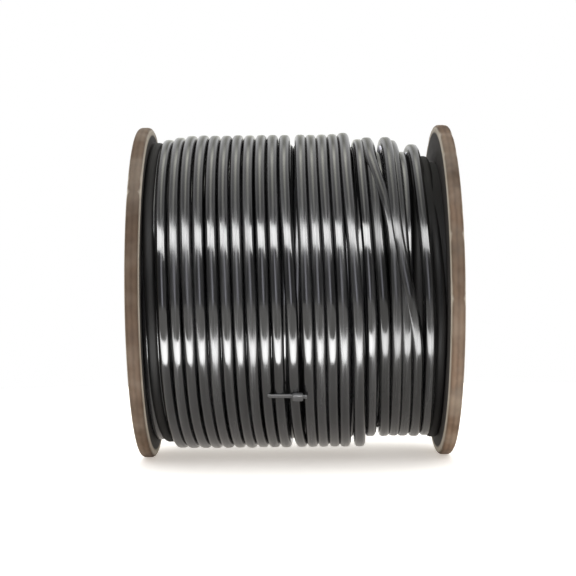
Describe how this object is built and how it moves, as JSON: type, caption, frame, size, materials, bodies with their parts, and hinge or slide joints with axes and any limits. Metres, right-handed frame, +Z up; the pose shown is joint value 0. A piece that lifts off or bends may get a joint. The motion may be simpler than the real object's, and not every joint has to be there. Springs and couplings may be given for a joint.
{
  "type": "multicore cable drum",
  "caption": "Wooden-flanged drum wound full of round black multicore cable, lying on the rims of its flanges.",
  "frame": {"origin": "middle of the drum's axis, which is the centre of the bounding box", "axes": "X along the drum's axis, with the end where the outermost layer stops short at +X; +Z up; the side seen in the picture faces -Y"},
  "size_m": [0.186, 0.1998, 0.1998],
  "materials": {
    "plywood": "bare plywood, brown at the rim and paler on the faces",
    "cardboard": "plain spiral-wound board",
    "jacket": "glossy black PVC jacket",
    "tie": "satin black nylon"
  },
  "bodies": {
    "root": {"flange_left": "plywood", "flange_right": "plywood", "barrel": "cardboard", "cable_winding": "jacket", "cable_tie": "tie"}
  },
  "joints": []
}
